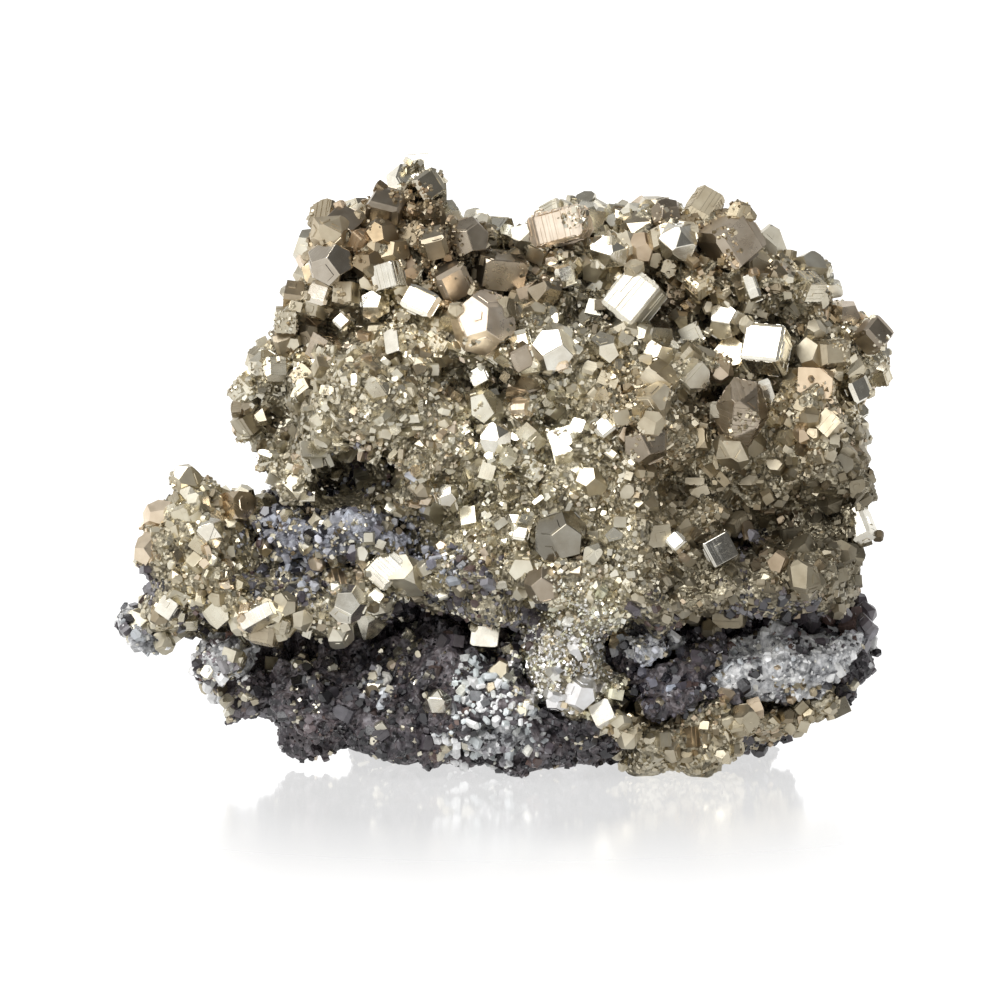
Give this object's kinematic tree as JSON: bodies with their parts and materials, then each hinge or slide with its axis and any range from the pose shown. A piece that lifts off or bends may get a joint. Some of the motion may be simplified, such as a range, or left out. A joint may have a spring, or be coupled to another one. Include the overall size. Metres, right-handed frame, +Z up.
{
  "type": "pyrite specimen",
  "caption": "Hand-sized mineral specimen: a jagged crust of brassy pyrite with larger single crystals, on dark host rock veined with grey-white quartz.",
  "frame": {"origin": "middle of the bounding box's underside, in the plane of the surface the specimen stands on", "axes": "+Z up; -Y towards the front, the crystal side; +X to the right seen from the front, along the specimen's longest extent"},
  "size_m": [0.0976, 0.0482, 0.0749],
  "materials": {
    "pyrite": "bright metallic crystal faces, pale brass-grey, finely striated",
    "pyrite_crust": "glittering crust of small intergrown metallic crystals, brassy khaki",
    "quartz": "sugary grey-white quartz with dark specks",
    "rock": "rough dark grey-purple rock with glinting dark grains"
  },
  "bodies": {
    "root": {"crystal_summit_peak": "pyrite", "crystal_summit_left_1": "pyrite", "crystal_summit_left_2": "pyrite", "crystal_summit_left_3": "pyrite", "crystal_summit_left_4": "pyrite", "crystal_summit_mid_1": "pyrite", "crystal_summit_mid_2": "pyrite", "crystal_summit_mid_3": "pyrite", "crystal_summit_mid_4": "pyrite", "crystal_summit_mid_5": "pyrite", "crystal_summit_block": "pyrite", "crystal_bright_summit": "pyrite", "crystal_big_pentagon": "pyrite", "crystal_bright_left": "pyrite", "crystal_shelf_left_1": "pyrite", "crystal_shelf_left_2": "pyrite", "crystal_shelf_mid_1": "pyrite", "crystal_shelf_mid_2": "pyrite", "crystal_saddle_block": "pyrite", "crystal_saddle_lit": "pyrite", "crystal_striated_centre": "pyrite", "crystal_saddle_dull": "pyrite", "crystal_shield": "pyrite", "crystal_summit_right_1": "pyrite", "crystal_summit_right_2": "pyrite", "crystal_summit_right_3": "pyrite", "crystal_lit_right": "pyrite", "crystal_striated_right": "pyrite", "crystal_shoulder_sliver": "pyrite", "crystal_knob_right": "pyrite", "crystal_flank_right_1": "pyrite", "crystal_hooded": "pyrite", "crystal_hooded_sliver": "pyrite", "crystal_tawny_lump": "pyrite", "crystal_lit_centre_1": "pyrite", "crystal_lit_centre_2": "pyrite", "crystal_lit_centre_3": "pyrite", "crystal_lit_centre_4": "pyrite", "crystal_lit_centre_5": "pyrite", "crystal_lit_centre_6": "pyrite", "crystal_smooth_grey": "pyrite", "crystal_smooth_brown": "pyrite", "crystal_flat_grey_right": "pyrite", "crystal_pale_edge_right": "pyrite", "crystal_lobe_hexagon": "pyrite", "crystal_lobe_bar": "pyrite", "crystal_lobe_cube": "pyrite", "crystal_ledge_plate": "pyrite", "crystal_ledge_khaki": "pyrite", "crystal_base_round": "pyrite", "crystal_base_cream": "pyrite", "crystal_base_cube": "pyrite", "pyrite_mass": "pyrite_crust", "quartz_seam_right": "quartz", "quartz_patch_upper_left": "quartz", "quartz_patch_base": "quartz", "quartz_patch_left_rim": "quartz", "quartz_patch_left_heel": "quartz", "quartz_patch_centre": "quartz", "host_rock": "rock"}
  },
  "joints": []
}
